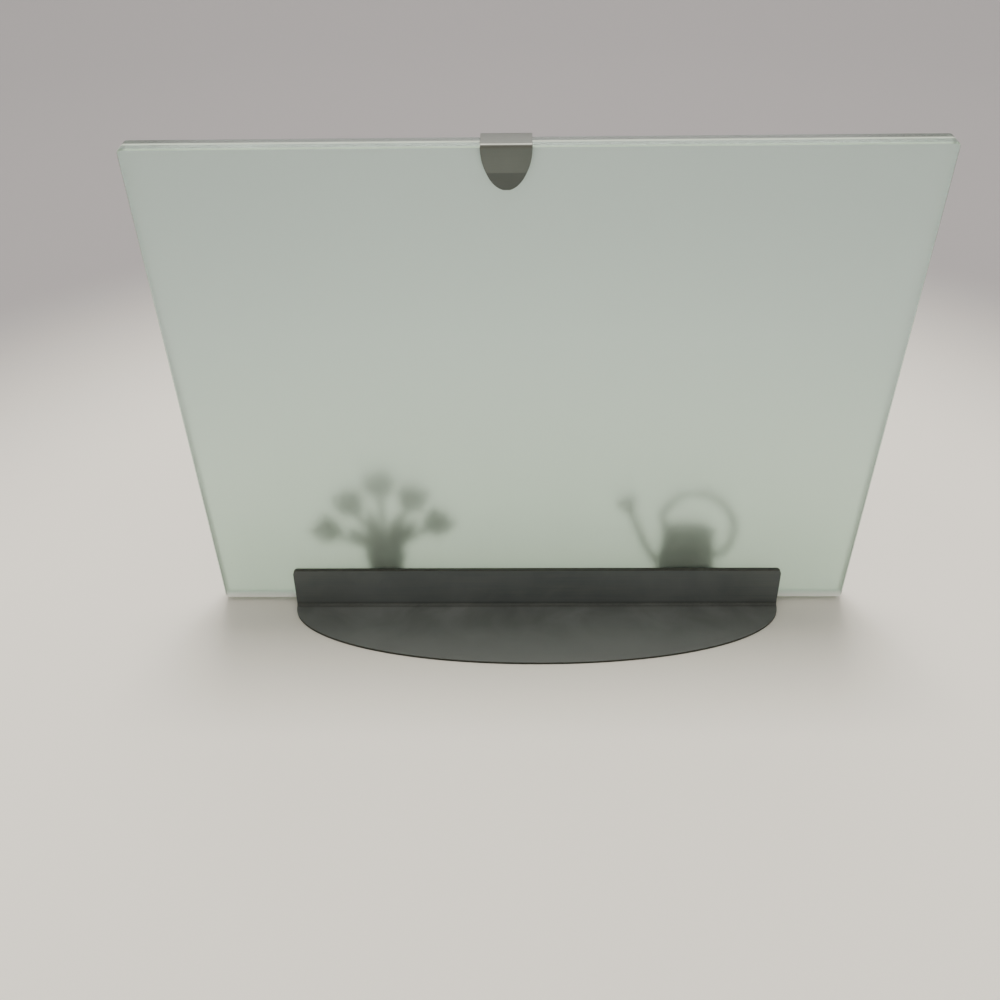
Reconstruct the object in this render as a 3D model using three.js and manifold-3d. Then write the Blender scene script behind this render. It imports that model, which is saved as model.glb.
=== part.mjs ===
// A free-standing photo frame. Two glass panes lean in a low stand bent from two sheets of
// stainless steel, a spring clip holds their top edges together, and two cast garden
// ornaments stand on the ledge in front of them.
//
// Millimetres, +Z up. The table is z = 0, the front faces -Y, and the origin lies on the table
// under the middle of the frame's overall box.

import * as THREE from "three";
import { mergeVertices } from "three/addons/utils/BufferGeometryUtils.js";
import Module from "manifold-3d";

// Glass panes
const PANE_WIDTH = 203.2;
const PANE_HEIGHT = 152.4;
const PANE_THICKNESS = 2.9;
const PANE_CORNER_RADIUS = 1.3;
const PANE_ARRIS = 0.35;
const PANE_GAP = 0.3;
const PANE_LEAN_DEGREES = 6;

// Bent stand sheets
const SHEET = 0.8;
const BEND_RADIUS = 0.8;
const STAND_LENGTH = 157;
const LIP_TOP = 14.6;
const LIP_CORNER_RADIUS = 1.4;
const REAR_FOOT_DEPTH = 28;
const REAR_BOW_POWER = 2.07;
const RIDGE_TOP = 6.6;
const RIDGE_HEM_GAP = 0.6;
const LEDGE_DEPTH = 7.6;
const LEDGE_BOW_POWER = 4;
const STAND_OFFSET_X = -1.2;

// Clearances
const SEAT_GAP = 0.3;
const LEAN_GAP = 0.3;
const RIDGE_GAP = 0.3;
const CLIP_GAP = 0.3;
const CASTING_GAP = 0.3;
const PEG_GAP = 0.25;

// Top clip
const CLIP_SHEET = 0.5;
const CLIP_WIDTH = 12.7;
const CLIP_TONGUE = 10.3;
const CLIP_PINCH_DROP = 6.4;
const CLIP_SHOULDER_SPREAD = 0.25;
const CLIP_FLARE = 1.2;
const CLIP_BEND_RADIUS = 0.5;
const CLIP_OFFSET_X = 7.1;

// Ornaments: a plinth with two pegs under each, then the castings on them
const ORNAMENT_SPACING = 100;
const PLINTH_LENGTH = 30;
const PLINTH_DEPTH = 6.6;
const PLINTH_HEIGHT = 1.6;
const PEG_RADIUS = 1.1;
const PEG_SPACING = 16;

const POT_RIM_RADIUS = 7;
const POT_FOOT_RADIUS = 4.8;
const POT_HEIGHT = 10.5;
const POT_RIM_HEIGHT = 2.6;
const POT_WALL = 1.3;
const POT_MOUTH_DEPTH = 2.4;
const STEM_RADIUS = 1;
const TULIP_RISE = 22;
const TULIP_SPREAD = 15.5;
const BLOOM_HEIGHT = 9.6;
const BLOOM_RADIUS = 2.9;
const LEAF_THICKNESS = 1.4;
const LEAF_RISE = 18;
const LEAF_REACH = 12;

const CAN_FOOT_RADIUS = 9.8;
const CAN_MOUTH_RADIUS = 8.2;
const CAN_HEIGHT = 20;
const CAN_WALL = 1.2;
const CAN_MOUTH_DEPTH = 3.5;
const CAN_BEAD = 0.5;
const SPOUT_RADIUS = 1.4;
const SPOUT_ROOT_HEIGHT = 6;
const SPOUT_REACH = 19.5;
const SPOUT_RISE = 29;
const ROSE_RADIUS = 3.5;
const ROSE_LENGTH = 3.6;
const ROSE_TILT_DEGREES = 24;
const HANDLE_RADIUS = 1.1;
const HANDLE_RISE = 13;
const HANDLE_REACH = 6.4;
const HANDLE_DROP = 11.5;

const EPSILON = 1;
const LEAN = THREE.MathUtils.degToRad(PANE_LEAN_DEGREES);
const PACK = 2 * PANE_THICKNESS + PANE_GAP;

const wasm = await Module();
wasm.setup();

const materials = {
  steel: new THREE.MeshStandardMaterial({ color: 0x6e706b, roughness: 0.38, metalness: 1 }),
  spring: new THREE.MeshStandardMaterial({ color: 0x8f908a, roughness: 0.3, metalness: 1 }),
  frosted: new THREE.MeshStandardMaterial({ color: 0xb4bdb7, roughness: 0.6, metalness: 0 }),
  clear: new THREE.MeshStandardMaterial({ color: 0xcfe0d8, roughness: 0.05, metalness: 0 }),
  pewter: new THREE.MeshStandardMaterial({ color: 0x7d7f7c, roughness: 0.45, metalness: 1 }),
};

// Solids and meshes

function toSolid(geometry) {
  const bare = geometry.clone();
  bare.deleteAttribute("normal");
  bare.deleteAttribute("uv");
  const merged = mergeVertices(bare);
  return new wasm.Manifold(new wasm.Mesh({
    numProp: 3,
    vertProperties: Float32Array.from(merged.attributes.position.array),
    triVerts: Uint32Array.from(merged.index.array),
  }));
}

function toMesh(name, solid, material) {
  const cut = solid.getMesh();
  const geometry = new THREE.BufferGeometry();
  geometry.setAttribute("position", new THREE.BufferAttribute(cut.vertProperties, 3));
  geometry.setIndex(new THREE.BufferAttribute(cut.triVerts, 1));
  geometry.computeVertexNormals();
  const mesh = new THREE.Mesh(geometry, material);
  mesh.name = name;
  return mesh;
}

function join(solids) {
  return solids.reduce((whole, solid) => whole.add(solid));
}

// Prisms, centred on zero along the axis that they are extruded through

const X = new THREE.Vector3(1, 0, 0);
const Y = new THREE.Vector3(0, 1, 0);
const Z = new THREE.Vector3(0, 0, 1);

const drawnOn = {
  yz: new THREE.Matrix4().makeBasis(Y, Z, X),
  xz: new THREE.Matrix4().makeBasis(X, Z, Y.clone().negate()),
  xy: new THREE.Matrix4(),
};

function prism(shape, depth, plane, bevel = 0) {
  const geometry = new THREE.ExtrudeGeometry(shape, {
    depth: depth - 2 * bevel,
    curveSegments: 8,
    bevelEnabled: bevel > 0,
    bevelThickness: bevel,
    bevelSize: bevel,
    bevelOffset: -bevel,
    bevelSegments: 1,
  });
  geometry.translate(0, 0, bevel - depth / 2);
  return toSolid(geometry.applyMatrix4(drawnOn[plane]));
}

// A revolved outline of (radius, height) points, upright along Z and flattened along Y.
function turned(outline, flatten = 1, segments = 28) {
  const points = outline.map(([radius, height]) => new THREE.Vector2(radius, height));
  const geometry = new THREE.LatheGeometry(points, segments);
  geometry.rotateX(Math.PI / 2);
  return toSolid(geometry.scale(1, flatten, 1));
}

function rod(points, radius, steps) {
  const section = new THREE.Shape().absarc(0, 0, radius, 0, 2 * Math.PI);
  const path = new THREE.CatmullRomCurve3(points.map(([x, y, z]) => new THREE.Vector3(x, y, z)));
  return toSolid(new THREE.ExtrudeGeometry(section, { extrudePath: path, steps, curveSegments: 5 }));
}

// Outlines

function heading(from, to) {
  return to.clone().sub(from).normalize();
}

function leftOf(direction) {
  return new THREE.Vector2(-direction.y, direction.x);
}

// The outline of a bent sheet. Each station is [u, v] at an end of the sheet's centre line,
// or [u, v, centre line radius] at a bend.
function bentSheet(stations, thickness, bendSteps = 6) {
  const points = stations.map(([u, v]) => new THREE.Vector2(u, v));
  const left = [];
  const right = [];
  const put = (at, direction) => {
    const side = leftOf(direction).multiplyScalar(thickness / 2);
    left.push(at.clone().add(side));
    right.unshift(at.clone().sub(side));
  };
  const last = points.length - 1;
  put(points[0], heading(points[0], points[1]));
  for (let i = 1; i < last; i += 1) {
    const into = heading(points[i - 1], points[i]);
    const away = heading(points[i], points[i + 1]);
    const turn = Math.atan2(into.cross(away), into.dot(away));
    const radius = stations[i][2] * Math.sign(turn);
    const start = points[i].clone().addScaledVector(into, -radius * Math.tan(turn / 2));
    const centre = start.addScaledVector(leftOf(into), radius);
    for (let k = 0; k <= bendSteps; k += 1) {
      const direction = into.clone().rotateAround(new THREE.Vector2(), (turn * k) / bendSteps);
      put(centre.clone().addScaledVector(leftOf(direction), -radius), direction);
    }
  }
  put(points[last], heading(points[last - 1], points[last]));
  return new THREE.Shape([...left, ...right]);
}

// A plan outline that is straight on one side and bows out by `depth` on the other.
// Power 2 is a half-ellipse, and a higher power has squarer ends.
function bowedPlan(length, straightY, bowY, depth, power, steps = 56) {
  const points = [new THREE.Vector2(-length / 2, straightY)];
  for (let i = 0; i <= steps; i += 1) {
    const angle = Math.PI * (1 - i / steps);
    const across = Math.sign(Math.cos(angle)) * Math.abs(Math.cos(angle)) ** (2 / power);
    const out = Math.sin(angle) ** (2 / power);
    points.push(new THREE.Vector2((across * length) / 2, bowY + depth * out));
  }
  points.push(new THREE.Vector2(length / 2, straightY));
  return new THREE.Shape(points);
}

function roundedRectangle(width, low, high, radius, lowRadius = radius) {
  const half = width / 2;
  const shape = new THREE.Shape();
  shape.moveTo(-half + lowRadius, low);
  shape.lineTo(half - lowRadius, low);
  if (lowRadius > 0) shape.absarc(half - lowRadius, low + lowRadius, lowRadius, -Math.PI / 2, 0);
  shape.lineTo(half, high - radius);
  shape.absarc(half - radius, high - radius, radius, 0, Math.PI / 2);
  shape.lineTo(-half + radius, high);
  shape.absarc(-half + radius, high - radius, radius, Math.PI / 2, Math.PI);
  shape.lineTo(-half, low + lowRadius);
  if (lowRadius > 0) shape.absarc(-half + lowRadius, low + lowRadius, lowRadius, Math.PI, 1.5 * Math.PI);
  return shape;
}

// Where things lie in the stand. The two sheets meet back to back on y = 0 in the stand's own
// frame: the rear sheet's lip is behind that plane and the front sheet's back wall before it.

const seatZ = SHEET + SEAT_GAP;
const leanRun = (LEAN_GAP + (LIP_TOP - seatZ) * Math.sin(LEAN)) / Math.cos(LEAN);
const seatY = -SHEET - leanRun;
const ridgeInnerY = seatY - PACK * Math.cos(LEAN) - RIDGE_GAP;
const ridgeWidth = 2 * SHEET + RIDGE_HEM_GAP;
const ledgeBackY = ridgeInnerY - ridgeWidth;
const rimFrontY = ledgeBackY - LEDGE_DEPTH;
const rimRearY = SHEET + REAR_FOOT_DEPTH;
const plinthY = ledgeBackY - BEND_RADIUS - PLINTH_DEPTH / 2;

// Stand

const bend = BEND_RADIUS + SHEET / 2;
const hem = (RIDGE_HEM_GAP + SHEET) / 2;

function lipOutline() {
  return prism(
    roundedRectangle(STAND_LENGTH, -EPSILON, LIP_TOP, LIP_CORNER_RADIUS, 0),
    2 * (rimRearY - rimFrontY), "xz",
  );
}

function rearStand() {
  const section = bentSheet([
    [SHEET / 2, LIP_TOP],
    [SHEET / 2, SHEET / 2, bend],
    [rimRearY, SHEET / 2],
  ], SHEET);
  const plan = bowedPlan(STAND_LENGTH, -EPSILON, SHEET, REAR_FOOT_DEPTH, REAR_BOW_POWER);
  return prism(section, STAND_LENGTH + EPSILON, "yz")
    .intersect(prism(plan, 4 * LIP_TOP, "xy"))
    .intersect(lipOutline());
}

function frontChannel() {
  const wallY = ridgeInnerY - SHEET / 2;
  const foldY = wallY - 2 * hem;
  const section = bentSheet([
    [-SHEET / 2, LIP_TOP],
    [-SHEET / 2, SHEET / 2, bend],
    [wallY, SHEET / 2, bend],
    [wallY, RIDGE_TOP - SHEET / 2, hem],
    [foldY, RIDGE_TOP - SHEET / 2, hem],
    [foldY, SHEET / 2, bend],
    [rimFrontY, SHEET / 2],
  ], SHEET);
  const plan = bowedPlan(STAND_LENGTH, EPSILON, ledgeBackY, -LEDGE_DEPTH, LEDGE_BOW_POWER);
  const blank = prism(section, STAND_LENGTH + EPSILON, "yz")
    .intersect(prism(plan, 4 * LIP_TOP, "xy"))
    .intersect(lipOutline());
  return ornamentPlaces()
    .flatMap((place) => pegs(PEG_RADIUS + PEG_GAP, EPSILON).map((peg) => peg.translate(place)))
    .reduce((sheet, hole) => sheet.subtract(hole), blank);
}

function ornamentPlaces() {
  return [-1, 1].map((side) => [(side * ORNAMENT_SPACING) / 2, plinthY, SHEET]);
}

// Glass

function pane(rearFaceY) {
  const outline = roundedRectangle(PANE_WIDTH, 0, PANE_HEIGHT, PANE_CORNER_RADIUS);
  return prism(outline, PANE_THICKNESS, "xz", PANE_ARRIS)
    .translate([0, rearFaceY - PANE_THICKNESS / 2, 0]);
}

// Clip, drawn about the middle of the glass pack

function topClip() {
  const halfSheet = CLIP_SHEET / 2;
  const pinchY = PACK / 2 + CLIP_GAP + halfSheet;
  const shoulderY = pinchY + CLIP_SHOULDER_SPREAD;
  const bridgeZ = PANE_HEIGHT + CLIP_GAP + halfSheet;
  const pinchZ = PANE_HEIGHT - CLIP_PINCH_DROP;
  const tipZ = PANE_HEIGHT - CLIP_TONGUE;
  const radius = CLIP_BEND_RADIUS + halfSheet;
  const arm = [
    [pinchY + CLIP_FLARE, tipZ],
    [pinchY, pinchZ, 2 * CLIP_BEND_RADIUS],
    [shoulderY, bridgeZ, radius],
  ];
  const otherArm = arm.map(([y, z, bendRadius]) => [-y, z, bendRadius]).reverse();
  const tongue = new THREE.Shape();
  tongue.moveTo(CLIP_WIDTH / 2, bridgeZ + EPSILON);
  tongue.lineTo(-CLIP_WIDTH / 2, bridgeZ + EPSILON);
  tongue.lineTo(-CLIP_WIDTH / 2, PANE_HEIGHT);
  tongue.absellipse(0, PANE_HEIGHT, CLIP_WIDTH / 2, CLIP_TONGUE, Math.PI, 2 * Math.PI);
  return prism(bentSheet([...arm, ...otherArm], CLIP_SHEET), CLIP_WIDTH, "yz")
    .intersect(prism(tongue, 4 * PACK, "xz"))
    .translate([CLIP_OFFSET_X, -PACK / 2, 0]);
}

// Ornament plinths, with two pegs that reach down through the ledge

function pegs(radius, reach) {
  const top = EPSILON / 2;
  const outline = [[0, -reach], [radius, -reach], [radius, top], [0, top]];
  return [-1, 1].map((side) => turned(outline, 1, 16).translate([(side * PEG_SPACING) / 2, 0, 0]));
}

function plinth() {
  const half = bowedPlan(PLINTH_LENGTH, 0, 0, PLINTH_DEPTH / 2, 3, 28);
  const slab = prism(half, PLINTH_HEIGHT, "xy", 0.3);
  return join([slab, slab.rotate([0, 0, 180])]).translate([0, 0, PLINTH_HEIGHT / 2]);
}

// Tulip pot and its flowers

const potFlatten = PLINTH_DEPTH / (2 * POT_RIM_RADIUS);

function tulipPot() {
  const top = PLINTH_HEIGHT + POT_HEIGHT;
  const neck = top - POT_RIM_HEIGHT;
  const pot = turned([
    [0, PLINTH_HEIGHT / 2],
    [POT_FOOT_RADIUS, PLINTH_HEIGHT / 2],
    [POT_FOOT_RADIUS, PLINTH_HEIGHT],
    [POT_RIM_RADIUS - 1, neck],
    [POT_RIM_RADIUS, neck + 0.5],
    [POT_RIM_RADIUS, top],
    [POT_RIM_RADIUS - POT_WALL, top],
    [POT_RIM_RADIUS - POT_WALL, top - POT_MOUTH_DEPTH],
    [0, top - POT_MOUTH_DEPTH],
  ], potFlatten);
  return join([plinth(), pot, ...pegs(PEG_RADIUS, SHEET)]);
}

// One pointed petal, standing on its root
function petal() {
  return turned([
    [0, 0],
    [0.6 * BLOOM_RADIUS, 0.14 * BLOOM_HEIGHT],
    [BLOOM_RADIUS, 0.4 * BLOOM_HEIGHT],
    [0.78 * BLOOM_RADIUS, 0.7 * BLOOM_HEIGHT],
    [0, BLOOM_HEIGHT],
  ], 0.62, 12);
}

function bloom([x, z], tiltDegrees) {
  const petals = [-1, 0, 1].map((side) => petal()
    .rotate([0, 17 * side, 0])
    .translate([0.43 * BLOOM_RADIUS * side, 0, 0]));
  return join(petals).rotate([0, tiltDegrees, 0]).translate([x, 0, z]);
}

// A flower's head, out and up by shares of the bunch's spread and rise, and its stem's bow
function flower(out, up, tilt) {
  const mouthZ = PLINTH_HEIGHT + POT_HEIGHT;
  const head = [out * TULIP_SPREAD, mouthZ + up * TULIP_RISE];
  const bow = [0.5 * head[0] - 0.1 * STEM_RADIUS, mouthZ + 0.58 * up * TULIP_RISE];
  return { head, bow, tilt };
}

function leaf(reach, rise, side) {
  const shape = new THREE.Shape();
  shape.moveTo(0, 0);
  shape.quadraticCurveTo(0.15 * reach, 0.75 * rise, reach, rise);
  shape.quadraticCurveTo(0.85 * reach, 0.35 * rise, 0.3 * reach, 0);
  const blade = prism(shape, LEAF_THICKNESS, "xz", 0.25);
  return side > 0 ? blade : blade.mirror([1, 0, 0]);
}

function tulipStems() {
  const soilZ = PLINTH_HEIGHT + POT_HEIGHT - POT_MOUTH_DEPTH + CASTING_GAP;
  const plugRadius = POT_RIM_RADIUS - POT_WALL - CASTING_GAP / potFlatten;
  const plug = turned([
    [0, soilZ],
    [plugRadius, soilZ],
    [plugRadius, soilZ + POT_MOUTH_DEPTH - CASTING_GAP],
    [0.5 * plugRadius, soilZ + POT_MOUTH_DEPTH + 0.4],
    [0, soilZ + POT_MOUTH_DEPTH + 0.6],
  ], potFlatten);
  const rootZ = soilZ + POT_MOUTH_DEPTH / 2;
  const leafZ = soilZ + 0.75 * POT_MOUTH_DEPTH;
  const flowers = [
    flower(0.02, 1, 2),
    flower(-0.58, 0.78, -16),
    flower(0.6, 0.69, 18),
    flower(-0.98, 0.38, -40),
    flower(1, 0.26, 46),
  ];
  const stems = flowers.map(({ head, bow }) => rod([
    [head[0] / 9, 0, rootZ],
    [bow[0], 0, bow[1]],
    [head[0], 0, head[1] + 0.1 * BLOOM_HEIGHT],
  ], STEM_RADIUS, 10));
  const blooms = flowers.map(({ head, tilt }) => bloom(head, tilt));
  const leaves = [[1, 0.55, 1], [0.95, 0.74, -1], [0.42, 1, 1], [0.4, 0.84, -1]].map(
    ([reach, rise, side]) => leaf(reach * LEAF_REACH, rise * LEAF_RISE, side)
      .translate([0, 0, leafZ]),
  );
  return join([plug, ...stems, ...blooms, ...leaves]);
}

// Watering can with its spout and handle

const canFlatten = PLINTH_DEPTH / (2 * (CAN_FOOT_RADIUS + CAN_BEAD));

function canOuter(growth) {
  const base = PLINTH_HEIGHT;
  const top = base + CAN_HEIGHT;
  const foot = CAN_FOOT_RADIUS + growth;
  const mouth = CAN_MOUTH_RADIUS + growth;
  return [
    [foot, base / 2],
    [foot + CAN_BEAD, base + 0.6],
    [foot + CAN_BEAD, base + 1.8],
    [foot, base + 2.4],
    [mouth + 0.2, top - 2.6],
    [mouth + CAN_BEAD, top - 2],
    [mouth + CAN_BEAD, top - 1],
    [mouth, top - 0.4],
    [mouth, top],
  ];
}

function wateringCan() {
  const top = PLINTH_HEIGHT + CAN_HEIGHT;
  const inner = CAN_MOUTH_RADIUS - CAN_WALL;
  const body = turned([
    [0, PLINTH_HEIGHT / 2],
    ...canOuter(0),
    [inner, top],
    [inner, top - CAN_MOUTH_DEPTH],
    [0, top - CAN_MOUTH_DEPTH],
  ], canFlatten);
  return join([plinth(), body, ...pegs(PEG_RADIUS, SHEET)]);
}

// The can's own space and its clearance, cut from what is soldered to it
function canSpace() {
  const clear = canOuter(CASTING_GAP);
  const [footRadius] = clear[0];
  const [mouthRadius, mouthZ] = clear[clear.length - 1];
  const lidZ = mouthZ + CASTING_GAP;
  return turned([[0, 0], [footRadius, 0], ...clear, [mouthRadius, lidZ], [0, lidZ]], canFlatten);
}

function canSpout() {
  const root = [CAN_FOOT_RADIUS - SPOUT_RADIUS, PLINTH_HEIGHT + SPOUT_ROOT_HEIGHT];
  const run = SPOUT_REACH - root[0];
  const climb = SPOUT_RISE - root[1];
  const along = (out, up) => [root[0] + out * run, 0, root[1] + up * climb];
  const tube = rod([along(0, 0), along(0.42, 0.25), along(0.77, 0.69), along(1, 1)], SPOUT_RADIUS, 18);
  const flange = rod([along(0, -0.02), along(0.28, 0.12)], 1.5 * SPOUT_RADIUS, 2);
  const rose = turned([
    [0, -1],
    [SPOUT_RADIUS + 0.2, -1],
    [ROSE_RADIUS, ROSE_LENGTH - 1],
    [ROSE_RADIUS, ROSE_LENGTH - 0.4],
    [0.6 * ROSE_RADIUS, ROSE_LENGTH],
    [0, ROSE_LENGTH + 0.2],
  ], 0.8, 20).rotate([0, ROSE_TILT_DEGREES, 0]).translate([SPOUT_REACH, 0, SPOUT_RISE]);
  return join([tube, flange, rose]).subtract(canSpace());
}

function canHandle() {
  const top = PLINTH_HEIGHT + CAN_HEIGHT;
  const wire = rod([
    [CAN_MOUTH_RADIUS - CAN_WALL / 2, 0, top - HANDLE_RADIUS],
    [CAN_MOUTH_RADIUS + CAN_BEAD, 0, top + 0.48 * HANDLE_RISE],
    [0.2 * CAN_MOUTH_RADIUS, 0, top + HANDLE_RISE],
    [-CAN_MOUTH_RADIUS, 0, top + 0.84 * HANDLE_RISE],
    [-CAN_MOUTH_RADIUS - HANDLE_REACH, 0, top + 0.12 * HANDLE_RISE],
    [-CAN_MOUTH_RADIUS - 0.84 * HANDLE_REACH, 0, top - 0.66 * HANDLE_DROP],
    [-CAN_MOUTH_RADIUS, 0, top - HANDLE_DROP],
  ], HANDLE_RADIUS, 36);
  return wire.subtract(canSpace());
}

// Assembly

function ornament(place, pieces) {
  const group = new THREE.Group();
  group.position.set(...place);
  pieces.forEach(([name, solid]) => group.add(toMesh(name, solid, materials.pewter)));
  return group;
}

const [canPlace, tulipPlace] = ornamentPlaces();

const stand = new THREE.Group();
stand.add(
  toMesh("rear_stand", rearStand(), materials.steel),
  toMesh("front_channel", frontChannel(), materials.steel),
  ornament(tulipPlace, [["tulip_pot", tulipPot()], ["tulip_stems", tulipStems()]]),
  ornament(canPlace, [
    ["watering_can", wateringCan()],
    ["can_spout", canSpout()],
    ["can_handle", canHandle()],
  ]),
);
stand.position.x = STAND_OFFSET_X;

const glass = new THREE.Group();
glass.add(
  toMesh("rear_pane", pane(0), materials.frosted),
  toMesh("front_pane", pane(-PANE_THICKNESS - PANE_GAP), materials.clear),
  toMesh("top_clip", topClip(), materials.spring),
);
glass.position.set(0, seatY, seatZ);
glass.rotation.x = -LEAN;

const frame = new THREE.Group();
frame.add(stand, glass);
frame.position.y = -(rimRearY + rimFrontY) / 2;

export default frame;
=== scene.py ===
import math

import bmesh
import bpy
from mathutils import Matrix, Vector


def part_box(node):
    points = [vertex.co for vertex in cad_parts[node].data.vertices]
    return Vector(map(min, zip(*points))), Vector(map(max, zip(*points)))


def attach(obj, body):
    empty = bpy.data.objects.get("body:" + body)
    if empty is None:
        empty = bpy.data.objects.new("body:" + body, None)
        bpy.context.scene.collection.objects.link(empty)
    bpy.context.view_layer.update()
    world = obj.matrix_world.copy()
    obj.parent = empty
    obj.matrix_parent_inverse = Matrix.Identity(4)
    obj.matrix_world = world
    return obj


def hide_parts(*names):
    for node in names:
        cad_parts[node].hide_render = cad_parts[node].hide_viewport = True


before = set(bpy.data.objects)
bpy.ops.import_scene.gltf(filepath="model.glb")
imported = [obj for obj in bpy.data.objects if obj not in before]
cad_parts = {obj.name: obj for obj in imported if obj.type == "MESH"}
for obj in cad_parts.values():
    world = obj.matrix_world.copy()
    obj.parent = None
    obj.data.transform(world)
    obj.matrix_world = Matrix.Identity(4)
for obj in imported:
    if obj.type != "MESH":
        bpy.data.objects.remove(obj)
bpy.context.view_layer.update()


# Camera: it stands behind the frame and above it, at the photograph's place, and looks down
# over the glass at the steel foot.
SENSOR_WIDTH, FOCAL_LENGTH, CAMERA_AT = 36, 38.62, (0.00434, 0.26958, 0.22515)
CAMERA_TURN, CAMERA_PITCH, CAMERA_ROLL = 181.2, 33.76, 0.83

lens = bpy.data.cameras.new("camera")
lens.sensor_width, lens.lens, lens.clip_start = SENSOR_WIDTH, FOCAL_LENGTH, 0.01
camera = bpy.data.objects.new("camera", lens)
bpy.context.scene.collection.objects.link(camera)
bpy.context.scene.camera = camera
camera.matrix_world = (
    Matrix.Translation(CAMERA_AT)
    @ Matrix.Rotation(math.radians(CAMERA_TURN), 4, "Z")
    @ Matrix.Rotation(math.radians(90 - CAMERA_PITCH), 4, "X")
    @ Matrix.Rotation(math.radians(-CAMERA_ROLL), 4, "Z")
)


# Table and backdrop: pale matt paper, flat under the frame and swept up into a wall all round
# it, far enough away that every view has the same plain ground.
def linear(colour):
    """An sRGB hex value as the linear colour that a shader's socket takes."""
    channels = [int(colour[i:i + 2], 16) / 255 for i in (1, 3, 5)]
    return (*(c / 12.92 if c <= 0.04045 else ((c + 0.055) / 1.055) ** 2.4 for c in channels), 1)


def add(tree, kind, inputs=(), **settings):
    """Adds a node with its settings. An input gets a value, a socket, or a node's first output."""
    node = tree.nodes.new(kind)
    for name, value in settings.items():
        setattr(node, name, value)
    for socket, value in dict(inputs).items():
        if isinstance(value, bpy.types.Node):
            value = next(output for output in value.outputs if output.enabled)
        if isinstance(value, bpy.types.NodeSocket):
            tree.links.new(value, node.inputs[socket])
        else:
            node.inputs[socket].default_value = value
    return node


def new_material(name):
    """An empty node material and its tree."""
    material = bpy.data.materials.new(name)
    material.use_nodes = True
    material.node_tree.nodes.clear()
    return material, material.node_tree


def new_piece(name, mesh, material=None):
    """An object of a mesh, put into the scene, in a material if one is given."""
    piece = bpy.data.objects.new(name, mesh)
    bpy.context.scene.collection.objects.link(piece)
    if material:
        mesh.materials.clear()
        mesh.materials.append(material)
    return piece


# Backdrop paper: fully matt and pale, with a soft cloudiness a few centimetres wide. Painted shade
# darkens it further out, most on the far side, in place of light falling off away from the frame
backdrop_paper, tree = new_material("graduated_backdrop_paper")
where = add(tree, "ShaderNodeTexCoord").outputs["Object"]
cloud = add(tree, "ShaderNodeTexNoise", {"Vector": where, "Scale": 9, "Detail": 2})
pale = add(tree, "ShaderNodeMix", {
    0: cloud, 6: linear("#eeeae0"), 7: linear("#f3efe5"),
}, data_type="RGBA")
# Painted shade: the paper darkens with distance from the frame, most on the far side
out = add(tree, "ShaderNodeVectorMath", {0: where}, operation="LENGTH")
painted_falloff = add(tree, "ShaderNodeMapRange", {
    "Value": out.outputs["Value"], "From Min": 0.18, "From Max": 0.385,
}, interpolation_type="SMOOTHSTEP")
painted_far_falloff = add(tree, "ShaderNodeSeparateXYZ", {0: where}).outputs["Y"]
painted_far_falloff = add(tree, "ShaderNodeMath", {0: painted_far_falloff, 1: out.outputs["Value"]}, operation="DIVIDE")
painted_far_falloff = add(tree, "ShaderNodeMapRange", {
    "Value": painted_far_falloff, "From Min": 0.35, "From Max": -0.6, "To Min": 0.4,
}, interpolation_type="SMOOTHSTEP")
painted_falloff = add(tree, "ShaderNodeMath", {0: painted_falloff, 1: painted_far_falloff}, operation="MULTIPLY")
tone = add(tree, "ShaderNodeMix", {
    0: painted_falloff, 6: pale.outputs[2], 7: linear("#9a9798"),
}, data_type="RGBA")
paper = add(tree, "ShaderNodeBsdfPrincipled", {
    "Base Color": tone.outputs[2], "Roughness": 0.9, "Specular IOR Level": 0.2,
})
add(tree, "ShaderNodeOutputMaterial", {"Surface": paper})

FLAT_RADIUS, SWEEP_RADIUS, SWEEP_TOP, SIDES = 0.9, 0.9, 2.0, 96
outline = [(FLAT_RADIUS, 0)]
for i in range(1, 25):
    angle = math.pi / 2 * i / 24
    outline.append((
        FLAT_RADIUS + SWEEP_RADIUS * math.sin(angle), SWEEP_RADIUS * (1 - math.cos(angle)),
    ))
outline.append((outline[-1][0], SWEEP_TOP))
corners = [
    (radius * math.cos(2 * math.pi * i / SIDES), radius * math.sin(2 * math.pi * i / SIDES), z)
    for radius, z in outline for i in range(SIDES)
]
faces = [tuple(range(SIDES))]
for start in range(0, len(corners) - SIDES, SIDES):
    for i in range(SIDES):
        j = (i + 1) % SIDES
        faces.append((start + i, start + SIDES + i, start + SIDES + j, start + j))
sweep = bpy.data.meshes.new("backdrop_sweep")
sweep.from_pydata(corners, [], faces)
sweep.shade_smooth()
new_piece("backdrop_sweep", sweep, backdrop_paper)


# Studio light: a soft lamp high overhead, set back so that the leaning glass shades the table
# at its foot, a wide panel far behind the glass, and an even room all round.
def soft_panel(name, width, depth, watts, at, towards, colour):
    """A rectangular lamp at a place, turned towards another."""
    data = bpy.data.lights.new(name, "AREA")
    data.shape = "RECTANGLE"
    data.size, data.size_y = width, depth
    data.energy = watts
    data.color = linear(colour)[:3]
    panel = bpy.data.objects.new(name, data)
    bpy.context.scene.collection.objects.link(panel)
    panel.location = at
    panel.rotation_euler = (Vector(towards) - Vector(at)).to_track_quat("-Z", "Y").to_euler()


soft_panel("overhead_panel", 0.5, 0.6, 36.0, (0, -0.25, 2.0), (0, -0.25, 0), "#fff9f2")
soft_panel("far_panel", 1.3, 0.45, 5.5, (0, -1.4, 1.15), (0, 0, 0.1), "#ffffff")

room = bpy.data.worlds.new("room")
room.use_nodes = True
room.node_tree.nodes.clear()
bpy.context.scene.world = room
dim = add(room.node_tree, "ShaderNodeBackground", {"Color": linear("#f4f4f2"), "Strength": 1.0})
add(room.node_tree, "ShaderNodeOutputWorld", {"Surface": dim})


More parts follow.
